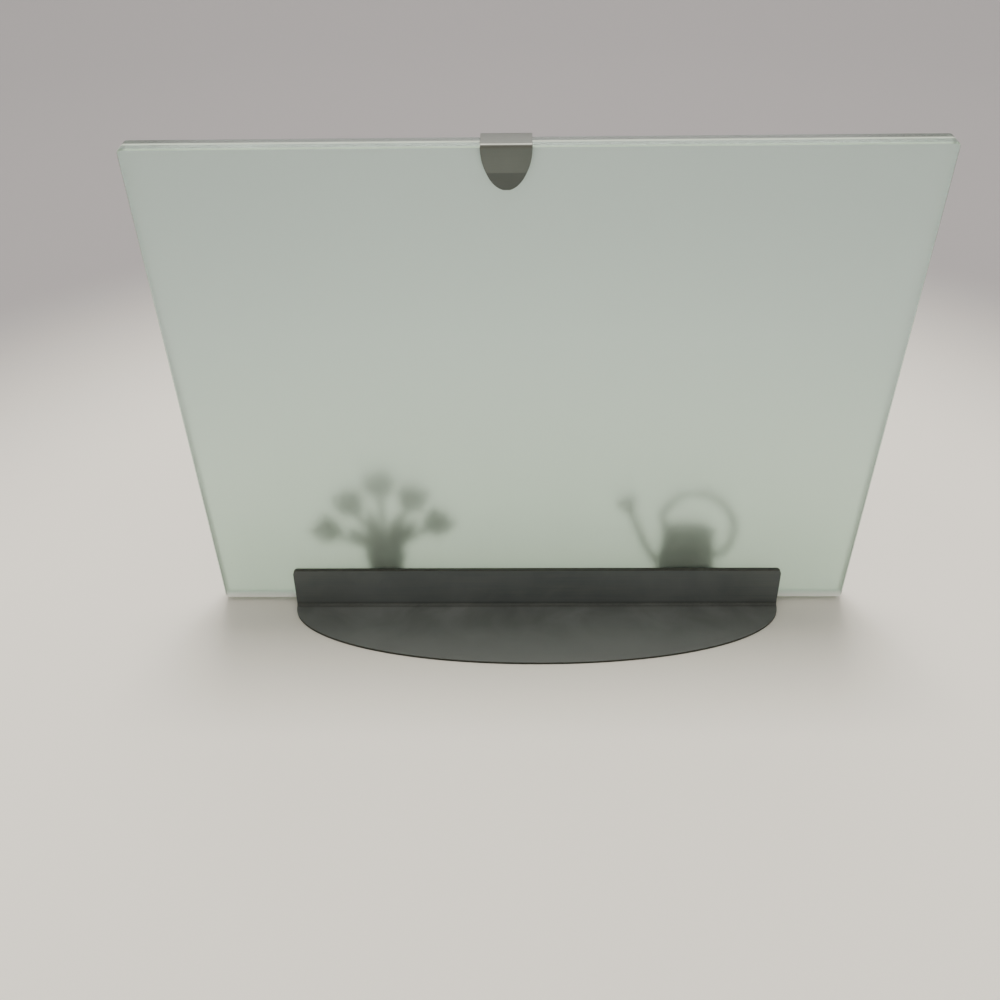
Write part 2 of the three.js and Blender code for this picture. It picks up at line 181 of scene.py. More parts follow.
# Rear stand: 0.8 mm stainless sheet, laser cut, brushed along its length and bent once into a
# low lip with a half-ellipse foot. Two spot welds hold the front sheet to its back.
MM = 0.001
SHEET, BEND_RADIUS = 0.8, 0.8
STAND_LENGTH, LIP_TOP, LIP_CORNER_RADIUS = 157, 14.6, 1.4
REAR_FOOT_DEPTH, REAR_BOW_POWER = 28, 2.07
SHEET_ARRIS = 0.1
WELD_SPACING, WELD_HEIGHT, WELD_RADIUS = 98.4, 9.3, 2.6


def open_tree(name, **inputs):
    """A geometry tree with named inputs besides the material, and what those inputs give."""
    tree = bpy.data.node_groups.new(name, "GeometryNodeTree")
    for label, kind in {**inputs, "Finish": "Material"}.items():
        label = label.replace("_", " ")
        tree.interface.new_socket(label, in_out="INPUT", socket_type="NodeSocket" + kind)
    tree.interface.new_socket("Result", in_out="OUTPUT", socket_type="NodeSocketGeometry")
    return tree, add(tree, "NodeGroupInput").outputs


def close_tree(tree, made, given):
    """Ends a tree: what it made as one plain mesh in its material."""
    made = add(tree, "GeometryNodeRealizeInstances", {"Geometry": made})
    made = add(tree, "GeometryNodeSetMaterial", {"Geometry": made, "Material": given["Finish"]})
    add(tree, "NodeGroupOutput", {"Result": made})
    return tree


def bent_blank_tree():
    """A strip of sheet swept along a bent path, with a rounded lip and a foot cut to a bow."""
    tree, given = open_tree(
        "bent_blank", Path="Geometry", Length="Float", Thickness="Float", Lip_top="Float",
        Lip_corner="Float", Bow_way="Vector", Bow_start="Float", Bow_depth="Float",
        Bow_power="Float",
    )

    # The path, with its corners bent round, and the way that the sheet faces along it
    line = add(tree, "GeometryNodeMeshToCurve", {"Mesh": given["Path"]})
    radius = add(tree, "GeometryNodeInputNamedAttribute", {"Name": "bend_radius"})
    line = add(tree, "GeometryNodeFilletCurve", {
        "Curve": line, "Radius": radius, "Count": 7,
    }, mode="POLY")
    facing = add(tree, "ShaderNodeVectorMath", {
        0: add(tree, "GeometryNodeInputTangent"), 1: (1, 0, 0),
    }, operation="CROSS_PRODUCT")
    line = add(tree, "GeometryNodeStoreNamedAttribute", {
        "Geometry": line, "Name": "facing", "Value": facing,
    }, data_type="FLOAT_VECTOR", domain="POINT")
    section = add(tree, "GeometryNodeCurvePrimitiveQuadrilateral", {
        "Width": given["Length"], "Height": given["Thickness"],
    })
    strip = add(tree, "GeometryNodeCurveToMesh", {
        "Curve": line, "Profile Curve": section, "Fill Caps": True,
    })

    # The bow: how much of the full length is left that far out
    at = add(tree, "GeometryNodeInputPosition")
    out = add(tree, "ShaderNodeVectorMath", {
        0: at, 1: given["Bow way"],
    }, operation="DOT_PRODUCT").outputs["Value"]
    for operation, value in [
        ("SUBTRACT", given["Bow start"]), ("DIVIDE", given["Bow depth"]), ("MAXIMUM", 0.0),
        ("POWER", given["Bow power"]),
    ]:
        out = add(tree, "ShaderNodeMath", {0: out, 1: value}, operation=operation)
    bow = add(tree, "ShaderNodeMath", {0: 1.0, 1: out}, operation="SUBTRACT")
    root = add(tree, "ShaderNodeMath", {0: 1.0, 1: given["Bow power"]}, operation="DIVIDE")
    for operation, value in [("MAXIMUM", 0.0), ("POWER", root)]:
        bow = add(tree, "ShaderNodeMath", {0: bow, 1: value}, operation=operation)

    # The lip's corners: a quarter circle at each end of its top edge
    split = add(tree, "ShaderNodeSeparateXYZ", {0: at})
    corner = given["Lip corner"]
    above = add(tree, "ShaderNodeMath", {0: given["Lip top"], 1: corner}, operation="SUBTRACT")
    above = add(tree, "ShaderNodeMath", {0: split.outputs["Z"], 1: above}, operation="SUBTRACT")
    above = add(tree, "ShaderNodeMath", {0: above, 1: 0.0}, operation="MAXIMUM")
    above = add(tree, "ShaderNodeMath", {0: above, 1: above}, operation="MULTIPLY")
    across = add(tree, "ShaderNodeMath", {0: corner, 1: corner}, operation="MULTIPLY")
    for operation, value in [("SUBTRACT", above), ("MAXIMUM", 0.0), ("POWER", 0.5)]:
        across = add(tree, "ShaderNodeMath", {0: across, 1: value}, operation=operation)
    half = add(tree, "ShaderNodeMath", {0: given["Length"], 1: 0.5}, operation="MULTIPLY")
    x = add(tree, "ShaderNodeMath", {0: half, 1: corner}, operation="SUBTRACT")
    for operation, value in [
        ("ADD", across), ("DIVIDE", half), ("MULTIPLY", bow), ("MULTIPLY", split.outputs["X"]),
    ]:
        x = add(tree, "ShaderNodeMath", {0: x, 1: value}, operation=operation)
    cut = add(tree, "ShaderNodeCombineXYZ", {
        "X": x, "Y": split.outputs["Y"], "Z": split.outputs["Z"],
    })
    strip = add(tree, "GeometryNodeSetPosition", {"Geometry": strip, "Position": cut})
    strip = add(tree, "GeometryNodeMergeByDistance", {"Geometry": strip, "Distance": 0.002})

    # Faces across the sheet's thickness are the cut edge
    facing = add(tree, "GeometryNodeInputNamedAttribute", {
        "Name": "facing",
    }, data_type="FLOAT_VECTOR")
    square = add(tree, "ShaderNodeVectorMath", {
        0: add(tree, "GeometryNodeInputNormal"), 1: facing,
    }, operation="DOT_PRODUCT")
    square = add(tree, "ShaderNodeMath", {0: square.outputs["Value"]}, operation="ABSOLUTE")
    edge = add(tree, "ShaderNodeMath", {0: square, 1: 0.5}, operation="LESS_THAN")
    strip = add(tree, "GeometryNodeStoreNamedAttribute", {
        "Geometry": strip, "Name": "cut_edge", "Value": edge,
    }, data_type="FLOAT", domain="FACE")
    return close_tree(tree, strip, given)


def bent_path(name, stations):
    """The middle line of a bent sheet through (y, z, bend radius) stations, in millimetres."""
    mesh = bpy.data.meshes.new(name)
    mesh.from_pydata(
        [(0, y, z) for y, z, _ in stations],
        [(i, i + 1) for i in range(len(stations) - 1)], [],
    )
    radii = mesh.attributes.new("bend_radius", "FLOAT", "POINT")
    radii.data.foreach_set("value", [radius for _, _, radius in stations])
    return new_piece(name, mesh)


def grown(piece, tree, place, arris=0, crease=30, **sizes):
    """Runs a tree on a piece drawn in millimetres, and keeps its plain mesh, put in its place."""
    growth = piece.modifiers.new(tree.name, "NODES")
    growth.node_group = tree
    for item in tree.interface.items_tree:
        if item.in_out == "INPUT" and item.name.replace(" ", "_").lower() in sizes:
            growth[item.identifier] = sizes[item.name.replace(" ", "_").lower()]
    if arris:
        chamfer = piece.modifiers.new("arris", "BEVEL")
        chamfer.width, chamfer.segments = arris, 1
        chamfer.limit_method, chamfer.angle_limit = "ANGLE", math.radians(50)
    depsgraph = bpy.context.evaluated_depsgraph_get()
    mesh = bpy.data.meshes.new_from_object(piece.evaluated_get(depsgraph))
    piece.modifiers.clear()
    piece.data = mesh
    mesh.name = piece.name
    mesh.transform(place @ Matrix.Scale(MM, 4))
    mesh.shade_smooth()
    mesh.set_sharp_from_angle(angle=math.radians(crease))
    return piece


def lip_rows(middle_y):
    """Stations down the lip: close together round its corners, then one for the flat."""
    base = LIP_TOP - LIP_CORNER_RADIUS
    return [
        (middle_y, base + LIP_CORNER_RADIUS * math.cos(math.pi / 2 * i / 8), 0) for i in range(9)
    ]


def bow_rows(start, depth, power, first=1, steps=30):
    """How far out the cuts along a bow lie, closer together towards its tip."""
    return [
        start + depth * math.sin(math.pi / 2 * i / steps) ** (2 / power)
        for i in range(first, steps + 1)
    ]


low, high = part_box("rear_stand")
stand_middle_x = (low.x + high.x) / 2

# Brushed stainless: metal, satin rather than mirror, with fine lines along the brushing. The
# lines are about 0.3 mm wide, coarser than a real belt leaves, so that they show.
stand_steel, tree = new_material("brushed_stainless_sheet")
where = add(tree, "ShaderNodeTexCoord").outputs["Object"]
along = add(tree, "ShaderNodeMapping", {
    "Vector": where, "Scale": (1 / 0.03, 1 / 0.0003, 1 / 0.0003),
})
brushing = add(tree, "ShaderNodeTexNoise", {
    "Vector": along, "Scale": 1, "Detail": 3, "Roughness": 0.6,
})
split = add(tree, "ShaderNodeSeparateXYZ", {0: where})
sideways = add(tree, "ShaderNodeMath", {
    0: split.outputs["X"], 1: stand_middle_x,
}, operation="SUBTRACT")
sideways = add(tree, "ShaderNodeMath", {0: sideways}, operation="ABSOLUTE")
# Cloudy smears a centimetre or two wide where it was wiped
handling = add(tree, "ShaderNodeTexNoise", {
    "Vector": where, "Scale": 1 / 0.016, "Detail": 4, "Distortion": 0.6,
})
handling = add(tree, "ShaderNodeMapRange", {"Value": handling, "From Min": 0.3, "From Max": 0.7})
tone = add(tree, "ShaderNodeMix", {
    0: handling, 6: linear("#898c8a"), 7: linear("#a6a9a7"),
}, data_type="RGBA")
# The foot is a little darker over its outer part, towards its tip
darker_to_foot_tip = add(tree, "ShaderNodeMapRange", {
    "Value": split.outputs["Y"], "From Min": high.y - 0.026, "From Max": high.y - 0.004,
})
# Painted shade: the lip is painted darker and cooler than the foot, as its face catches less light
painted_lip_shade = add(tree, "ShaderNodeMapRange", {
    "Value": split.outputs["Z"], "From Min": 0.0006, "From Max": 0.0018, "To Max": 0.78,
})
# Painted shade: both ends are painted a little darker, toning down the bright reflection they pick
# up
painted_end_shade = add(tree, "ShaderNodeMapRange", {
    "Value": sideways, "From Min": 0.05, "From Max": 0.077, "To Max": 0.15,
}, interpolation_type="SMOOTHSTEP")
lines = add(tree, "ShaderNodeMapRange", {
    "Value": brushing, "From Min": 0.3, "From Max": 0.7, "To Max": 0.12,
})
# Weld marks: a round, slightly blue and dished spot at each weld, mirrored about the middle
spot = add(tree, "ShaderNodeCombineXYZ", {"X": sideways, "Z": split.outputs["Z"]})
spot = add(tree, "ShaderNodeVectorMath", {
    0: spot, 1: (WELD_SPACING / 2 * MM, 0, WELD_HEIGHT * MM),
}, operation="DISTANCE")
weld = add(tree, "ShaderNodeMapRange", {
    "Value": spot.outputs["Value"], "From Min": 0.75 * WELD_RADIUS * MM,
    "From Max": WELD_RADIUS * MM, "To Min": 1.0, "To Max": 0.0,
}, interpolation_type="SMOOTHSTEP")
tint = add(tree, "ShaderNodeMath", {0: weld, 1: 0.16}, operation="MULTIPLY")
# The laser leaves the cut edge darker and unbrushed
edge = add(tree, "ShaderNodeAttribute", attribute_name="cut_edge").outputs["Fac"]
for share, colour in [
    (darker_to_foot_tip, "#878987"), (painted_lip_shade, "#586266"), (painted_end_shade, "#52544f"), (lines, "#c4c5bf"),
    (tint, "#6d7276"), (edge, "#6f706b"),
]:
    tone = add(tree, "ShaderNodeMix", {
        0: share, 6: tone.outputs[2], 7: linear(colour),
    }, data_type="RGBA")
# Painted shade in the folds near the table: darker where the fold hems it in, and rougher there
clear_of_fold_shade = add(tree, "ShaderNodeAmbientOcclusion", {"Distance": 0.0016}, samples=8)
clear_of_fold_shade = add(tree, "ShaderNodeMapRange", {
    "Value": clear_of_fold_shade.outputs["AO"], "From Min": 0.68, "From Max": 1.0,
}, interpolation_type="SMOOTHSTEP")
above_fold = add(tree, "ShaderNodeMapRange", {
    "Value": split.outputs["Z"], "From Min": 0.003, "From Max": 0.006,
})
clear_of_fold_shade = add(tree, "ShaderNodeMath", {0: clear_of_fold_shade, 1: above_fold}, operation="MAXIMUM")
tone = add(tree, "ShaderNodeMix", {
    0: clear_of_fold_shade, 6: linear("#4e524d"), 7: tone.outputs[2],
}, data_type="RGBA")
satin = add(tree, "ShaderNodeMapRange", {
    "Value": brushing, "From Min": 0.3, "From Max": 0.7, "To Min": 0.74, "To Max": 0.84,
})
satin = add(tree, "ShaderNodeMix", {0: clear_of_fold_shade, 2: 0.85, 3: satin}, data_type="FLOAT")
fine = add(tree, "ShaderNodeBump", {"Height": brushing, "Strength": 0.25, "Distance": 0.00002})
dished = add(tree, "ShaderNodeBump", {
    "Height": weld, "Strength": 0.35, "Distance": 0.0001, "Normal": fine,
}, invert=True)
steel = add(tree, "ShaderNodeBsdfPrincipled", {
    "Base Color": tone.outputs[2], "Metallic": 1.0, "Roughness": satin, "Normal": dished,
})
add(tree, "ShaderNodeOutputMaterial", {"Surface": steel})

bent_blank = bent_blank_tree()
stand_place = Matrix.Translation((stand_middle_x, low.y, 0))
rear_stand = grown(
    bent_path("bent_rear_stand", [
        *lip_rows(SHEET / 2),
        (SHEET / 2, SHEET / 2, BEND_RADIUS + SHEET / 2),
        *((y, SHEET / 2, 0) for y in bow_rows(SHEET, REAR_FOOT_DEPTH, REAR_BOW_POWER)),
    ]),
    bent_blank, stand_place, arris=SHEET_ARRIS, finish=stand_steel,
    length=STAND_LENGTH, thickness=SHEET, lip_top=LIP_TOP, lip_corner=LIP_CORNER_RADIUS,
    bow_way=(0, 1, 0), bow_start=SHEET, bow_depth=REAR_FOOT_DEPTH, bow_power=REAR_BOW_POWER,
)
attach(rear_stand, "stand")
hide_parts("rear_stand")


# Front channel: the same sheet, bent five times into a back wall, a floor for the glass, a
# hemmed ridge that keeps the glass in, and a ledge that the ornaments' pegs go through.
CHANNEL_WALL_Y, HEM_RADIUS, RIDGE_TOP = -9.287, 0.7, 6.6
LEDGE_BACK_Y, LEDGE_DEPTH, LEDGE_BOW_POWER = -11.087, 7.6, 4
ORNAMENT_SPACING, PEG_SPACING, PEG_HOLE_RADIUS, PEG_HOLE_Y = 100, 16, 1.35, -15.187

ridge_front_y = CHANNEL_WALL_Y - 2 * HEM_RADIUS
bend = BEND_RADIUS + SHEET / 2
front_channel = grown(
    bent_path("bent_front_channel", [
        *lip_rows(-SHEET / 2),
        (-SHEET / 2, SHEET / 2, bend),
        (CHANNEL_WALL_Y, SHEET / 2, bend),
        (CHANNEL_WALL_Y, RIDGE_TOP - SHEET / 2, HEM_RADIUS),
        (ridge_front_y, RIDGE_TOP - SHEET / 2, HEM_RADIUS),
        (ridge_front_y, SHEET / 2, bend),
        *((-y, SHEET / 2, 0)
          for y in bow_rows(-LEDGE_BACK_Y, LEDGE_DEPTH, LEDGE_BOW_POWER, steps=24)),
    ]),
    bent_blank, stand_place, arris=SHEET_ARRIS, finish=stand_steel,
    length=STAND_LENGTH, thickness=SHEET, lip_top=LIP_TOP, lip_corner=LIP_CORNER_RADIUS,
    bow_way=(0, -1, 0), bow_start=-LEDGE_BACK_Y, bow_depth=LEDGE_DEPTH, bow_power=LEDGE_BOW_POWER,
)
drills = bmesh.new()
for side in (-1, 1):
    for peg in (-1, 1):
        x = side * ORNAMENT_SPACING / 2 + peg * PEG_SPACING / 2
        bmesh.ops.create_cone(
            drills, cap_ends=True, segments=32, radius1=PEG_HOLE_RADIUS, radius2=PEG_HOLE_RADIUS,
            depth=4 * SHEET, matrix=Matrix.Translation((x, PEG_HOLE_Y, SHEET / 2)),
        )
drill_mesh = bpy.data.meshes.new("peg_hole_drills")
drills.to_mesh(drill_mesh)
drills.free()
drill_mesh.transform(stand_place @ Matrix.Scale(MM, 4))
drill = new_piece("peg_hole_drills", drill_mesh)
punch = front_channel.modifiers.new("peg_holes", "BOOLEAN")
punch.object, punch.operation, punch.solver = drill, "DIFFERENCE", "EXACT"
holed = bpy.data.meshes.new_from_object(
    front_channel.evaluated_get(bpy.context.evaluated_depsgraph_get())
)
front_channel.modifiers.clear()
front_channel.data = holed
bpy.data.objects.remove(drill)
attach(front_channel, "stand")
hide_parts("front_channel")


# Rear pane: 2.9 mm float glass, 8 by 6 inches, its edges ground and half polished and its back
# etched with acid. It leans in the channel, and the etched face blurs what is behind it.
PANE_WIDTH, PANE_HEIGHT, PANE_THICKNESS = 203.2, 152.4, 2.9
PANE_CORNER_RADIUS, PANE_ARRIS, PANE_GAP = 1.3, 0.35, 0.3
PANE_LEAN_DEGREES, PANE_FOOT_Y, PANE_FOOT_Z = 6, -7.577, 1.1
glass_place = (
    Matrix.Translation((0, PANE_FOOT_Y * MM, PANE_FOOT_Z * MM))
    @ Matrix.Rotation(math.radians(-PANE_LEAN_DEGREES), 4, "X")
)


def loft(name, rings, closed=True):
    """A mesh through rings of the same number of points, capped at both ends."""
    count = len(rings[0])
    build = bmesh.new()
    verts = [[build.verts.new(point) for point in ring] for ring in rings]
    for low_ring, high_ring in zip(verts, verts[1:]):
        for i in range(count):
            j = (i + 1) % count
            build.faces.new((low_ring[i], low_ring[j], high_ring[j], high_ring[i]))
    if closed:
        build.faces.new(verts[0][::-1])
        build.faces.new(verts[-1])
    bmesh.ops.remove_doubles(build, verts=build.verts, dist=1e-4)
    bmesh.ops.recalc_face_normals(build, faces=build.faces)
    mesh = bpy.data.meshes.new(name)
    build.to_mesh(mesh)
    build.free()
    return mesh


def pane_mesh(name, rear_y):
    """A pane with rounded corners and an arris round both faces, marked where its edge is."""
    rings = []
    for inset, y in [
        (PANE_ARRIS, rear_y), (0, rear_y - PANE_ARRIS),
        (0, rear_y - PANE_THICKNESS + PANE_ARRIS), (PANE_ARRIS, rear_y - PANE_THICKNESS),
    ]:
        ring = []
        for quarter, (right, up) in enumerate([(1, 1), (-1, 1), (-1, -1), (1, -1)]):
            middle_x = right * (PANE_WIDTH / 2 - PANE_CORNER_RADIUS)
            middle_z = PANE_HEIGHT / 2 + up * (PANE_HEIGHT / 2 - PANE_CORNER_RADIUS)
            for i in range(13):
                angle = math.pi / 2 * (quarter + i / 12)
                reach = PANE_CORNER_RADIUS - inset
                across, upward = reach * math.cos(angle), reach * math.sin(angle)
                ring.append((middle_x + across, y, middle_z + upward))
        rings.append(ring)
    mesh = loft(name, rings)
    etched = mesh.attributes.new("etched_face", "FLOAT", "FACE")
    edge = mesh.attributes.new("ground_edge", "FLOAT", "FACE")
    for face in mesh.polygons:
        etched.data[face.index].value = float(face.normal.y > 0.99)
        edge.data[face.index].value = float(abs(face.normal.y) < 0.99)
    mesh.transform(glass_place @ Matrix.Scale(MM, 4))
    mesh.shade_smooth()
    mesh.set_sharp_from_angle(angle=math.radians(30))
    return mesh


def float_glass(name, tint, etch):
    """Soda-lime float glass: clear through its thickness and pale green along it. Its edges are
    ground and half polished, so they blur what is behind them. An etched face has a fine
    silky grain, and its pits give back a little white light of their own."""
    material, tree = new_material(name)
    edge = add(tree, "ShaderNodeAttribute", attribute_name="ground_edge").outputs["Fac"]
    rough = add(tree, "ShaderNodeMapRange", {"Value": edge, "To Min": 0.01, "To Max": 0.26})
    clear = add(tree, "ShaderNodeMapRange", {"Value": edge, "To Min": 1.0, "To Max": 0.85})
    body = add(tree, "ShaderNodeMix", {
        0: edge, 6: linear(tint), 7: linear("#c6d8cc"),
    }, data_type="RGBA")
    if etch:
        where = add(tree, "ShaderNodeTexCoord").outputs["Object"]
        face = add(tree, "ShaderNodeAttribute", attribute_name="etched_face").outputs["Fac"]
        height = add(tree, "ShaderNodeSeparateXYZ", {0: where}).outputs["Z"]
        # Painted light: towards the top the etched face is painted whiter and lets less through,
        # standing in for the light that the frosted glass catches there. Streaks about 4 mm apart
        # run down it
        painted_top_light = add(tree, "ShaderNodeMapRange", {
            "Value": height, "From Min": 0.02, "From Max": 0.1,
        })
        etched = add(tree, "ShaderNodeMath", {0: painted_top_light, 1: face}, operation="MULTIPLY")
        body = add(tree, "ShaderNodeMix", {
            0: etched, 6: body.outputs[2], 7: linear("#e8fafa"),
        }, data_type="RGBA")
        silk = add(tree, "ShaderNodeMapRange", {
            "Value": height, "From Min": 0.04, "From Max": 0.14,
            "To Min": etch, "To Max": etch + 0.5,
        })
        rough = add(tree, "ShaderNodeMix", {0: face, 2: rough, 3: silk}, data_type="FLOAT")
        grain = add(tree, "ShaderNodeTexNoise", {
            "Vector": where, "Scale": 1 / 0.0005, "Detail": 2,
        })
        strength = add(tree, "ShaderNodeMath", {0: face, 1: 0.08}, operation="MULTIPLY")
        through = add(tree, "ShaderNodeMapRange", {"Value": painted_top_light, "To Min": 0.8, "To Max": 0.6})
        run = add(tree, "ShaderNodeMapping", {
            "Vector": where, "Scale": (1 / 0.004, 1, 1 / 0.09),
        })
        run = add(tree, "ShaderNodeTexNoise", {
            "Vector": run, "Scale": 1, "Detail": 3, "Roughness": 0.6,
        })
        run = add(tree, "ShaderNodeMapRange", {"Value": run, "To Min": 0.05, "To Max": -0.05})
        through = add(tree, "ShaderNodeMath", {0: through, 1: run}, operation="ADD")
        # Dust: specks up to 0.5 mm across, about one in each square centimetre
        dust = add(tree, "ShaderNodeTexVoronoi", {"Vector": where, "Scale": 1 / 0.0075})
        size = add(tree, "ShaderNodeSeparateColor", {0: dust.outputs["Color"]}).outputs["Red"]
        size = add(tree, "ShaderNodeMapRange", {
            "Value": size, "From Min": 0.55, "To Min": 0.0, "To Max": 0.035,
        })
        speck = add(tree, "ShaderNodeMath", {
            0: dust.outputs["Distance"], 1: size,
        }, operation="LESS_THAN")
        through = add(tree, "ShaderNodeMix", {0: speck, 2: through, 3: 0.15}, data_type="FLOAT")
        # Painted highlight: a white line 1 to 2 mm wide along the pane's foot, for light the glass
        # lets through
        painted_foot_glow = add(tree, "ShaderNodeMapRange", {
            "Value": height, "From Min": 0.0046, "From Max": 0.0022,
        })
        painted_foot_glow = add(tree, "ShaderNodeMath", {0: painted_foot_glow, 1: face}, operation="MULTIPLY")
        body = add(tree, "ShaderNodeMix", {
            0: painted_foot_glow, 6: body.outputs[2], 7: linear("#fafffc"),
        }, data_type="RGBA")
        through = add(tree, "ShaderNodeMix", {0: painted_foot_glow, 2: through, 3: 0.1}, data_type="FLOAT")
        clear = add(tree, "ShaderNodeMix", {0: face, 2: clear, 3: through}, data_type="FLOAT")
        silky = {"Normal": add(tree, "ShaderNodeBump", {
            "Height": grain, "Strength": strength, "Distance": 0.00002,
        })}
    glass = add(tree, "ShaderNodeBsdfPrincipled", {
        "Base Color": body.outputs[2], "IOR": 1.52, "Roughness": rough,
        "Transmission Weight": clear, **(silky if etch else {}),
    })
    # Iron in the glass takes out red first, which shows only along the pane
    depth = add(tree, "ShaderNodeVolumeAbsorption", {"Color": (0.0, 0.66, 0.45, 1), "Density": 4.0})
    add(tree, "ShaderNodeOutputMaterial", {"Surface": glass, "Volume": depth})
    return material


frosted_glass = float_glass("acid_etched_float_glass", "#cce1d4", etch=0.4)
rear_pane = new_piece("etched_rear_pane", pane_mesh("etched_rear_pane", 0), frosted_glass)
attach(rear_pane, "rear_glass")
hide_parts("rear_pane")


# Front pane: the same float glass, left clear on both faces, leaning with the etched pane. A
# picture goes between the two, and none is in the frame.
clear_glass = float_glass("clear_float_glass", "#f8fdfb", etch=0)
front_pane = new_piece(
    "clear_front_pane", pane_mesh("clear_front_pane", -PANE_THICKNESS - PANE_GAP), clear_glass
)
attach(front_pane, "front_glass")
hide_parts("front_pane")


# Top clip: 0.5 mm spring steel strip, bent over both panes. Each tongue is cut to a half
# ellipse, pinches the glass part way down and flares off it at its tip.
CLIP_SHEET, CLIP_WIDTH, CLIP_TONGUE, CLIP_GAP = 0.5, 12.7, 10.3, 0.3
CLIP_PINCH_DROP, CLIP_SHOULDER_SPREAD, CLIP_FLARE, CLIP_OFFSET_X = 6.4, 0.25, 1.2, 7.1
PACK = 2 * PANE_THICKNESS + PANE_GAP

# Spring steel: a cold rolled satin with fine lines along the strip and soft patches
spring_steel, tree = new_material("satin_spring_steel")
where = add(tree, "ShaderNodeTexCoord").outputs["Object"]
along = add(tree, "ShaderNodeMapping", {
    "Vector": where, "Scale": (1 / 0.006, 1 / 0.00025, 1 / 0.00025),
})
brushing = add(tree, "ShaderNodeTexNoise", {"Vector": along, "Scale": 1, "Detail": 2})
rubbed = add(tree, "ShaderNodeTexNoise", {"Vector": where, "Scale": 1 / 0.005, "Detail": 2})
tone = add(tree, "ShaderNodeMix", {
    0: rubbed, 6: linear("#5f6663"), 7: linear("#696f6c"),
}, data_type="RGBA")
# Painted light: the bridge is painted a little warmer and brighter, as its top face catches the
# light
painted_bridge_light = add(tree, "ShaderNodeSeparateXYZ", {0: where}).outputs["Z"]
painted_bridge_light = add(tree, "ShaderNodeMapRange", {
    "Value": painted_bridge_light, "From Min": 0.1522, "From Max": 0.153,
})
tone = add(tree, "ShaderNodeMix", {
    0: painted_bridge_light, 6: tone.outputs[2], 7: linear("#6e706a"),
}, data_type="RGBA")
satin = add(tree, "ShaderNodeMapRange", {
    "Value": brushing, "From Min": 0.3, "From Max": 0.7, "To Min": 0.38, "To Max": 0.46,
})
fine = add(tree, "ShaderNodeBump", {"Height": brushing, "Strength": 0.15, "Distance": 0.00001})
steel = add(tree, "ShaderNodeBsdfPrincipled", {
    "Base Color": tone.outputs[2], "Metallic": 1.0, "Roughness": satin, "Normal": fine,
})
add(tree, "ShaderNodeOutputMaterial", {"Surface": steel})

pinch_y = PACK / 2 + CLIP_GAP + CLIP_SHEET / 2
bridge_z = PANE_HEIGHT + CLIP_GAP + CLIP_SHEET / 2
tip_z, pinch_z = PANE_HEIGHT - CLIP_TONGUE, PANE_HEIGHT - CLIP_PINCH_DROP
tongue_rows = [PANE_HEIGHT - z for z in bow_rows(0, CLIP_TONGUE, 2, 2, 20)]
arm = [(pinch_y + CLIP_FLARE * (z - pinch_z) / (tip_z - pinch_z), z, 0)
       for z in reversed(tongue_rows) if z < pinch_z - 0.4]
arm.append((pinch_y, pinch_z, 1.0))
arm += [(pinch_y + CLIP_SHOULDER_SPREAD * (z - pinch_z) / (bridge_z - pinch_z), z, 0)
        for z in reversed(tongue_rows) if z > pinch_z + 0.4]
arm.append((pinch_y + CLIP_SHOULDER_SPREAD, bridge_z, 0.75))
# It has no lip with rounded corners, so the blank's lip top stands above all of it
top_clip = grown(
    bent_path("spring_top_clip", [*arm, *((-y, z, radius) for y, z, radius in reversed(arm))]),
    bent_blank, glass_place @ Matrix.Translation((CLIP_OFFSET_X * MM, -PACK / 2 * MM, 0)),
    arris=0.06, finish=spring_steel, length=CLIP_WIDTH, thickness=CLIP_SHEET,
    lip_top=2 * PANE_HEIGHT, lip_corner=0.0, bow_way=(0, 0, -1),
    bow_start=-PANE_HEIGHT, bow_depth=CLIP_TONGUE, bow_power=2.0,
)
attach(top_clip, "clip")
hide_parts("top_clip")


# Tulip pot: cast pewter, flat enough to stand on the ledge, in one with its plinth and the two
# pegs under it. Beads run round the plinth, and flutes and a band of beads round the pot.
PLINTH_LENGTH, PLINTH_DEPTH, PLINTH_HEIGHT, PLINTH_POWER = 30, 6.6, 1.6, 3
PEG_RADIUS = 1.1
POT_RIM_RADIUS, POT_FOOT_RADIUS, POT_HEIGHT = 7, 4.8, 10.5
POT_RIM_HEIGHT, POT_WALL, POT_MOUTH_DEPTH = 2.6, 1.3, 2.4
POT_FLATTEN = PLINTH_DEPTH / (2 * POT_RIM_RADIUS)


def bead_row_tree():
    """Half-sunk beads, evenly spaced along the edges of the geometry that it is given."""
    tree, given = open_tree("bead_row", Line="Geometry", Bead_radius="Float", Count="Int")
    line = add(tree, "GeometryNodeMeshToCurve", {"Mesh": given["Line"]})
    line = add(tree, "GeometryNodeResampleCurve", {
        "Curve": line, "Count": given["Count"],
    }, mode="COUNT")
    bead = add(tree, "GeometryNodeMeshIcoSphere", {
        "Radius": given["Bead radius"], "Subdivisions": 2,
    })
    beads = add(tree, "GeometryNodeInstanceOnPoints", {"Points": line, "Instance": bead})
    return close_tree(tree, beads, given)


def line_mesh(name, points, cyclic=True):
    """Edges through the points, for a tree to follow."""
    mesh = bpy.data.meshes.new(name)
    count = len(points)
    edges = [(i, (i + 1) % count) for i in range(count if cyclic else count - 1)]
    mesh.from_pydata(points, edges, [])
    return new_piece(name, mesh)


def turned_rings(outline, flatten, points=96, flute=None):
    """Rings of a turned outline of (radius, height) points, flattened front to back. flute gives
    the share of the radius that is left at an angle and a height."""
    rings = []
    for radius, height in outline:
        ring = []
        for i in range(points):
            angle = 2 * math.pi * i / points
            reach = radius * (flute(angle, height) if flute else 1)
            ring.append((reach * math.cos(angle), flatten * reach * math.sin(angle), height))
        rings.append(ring)
    return rings


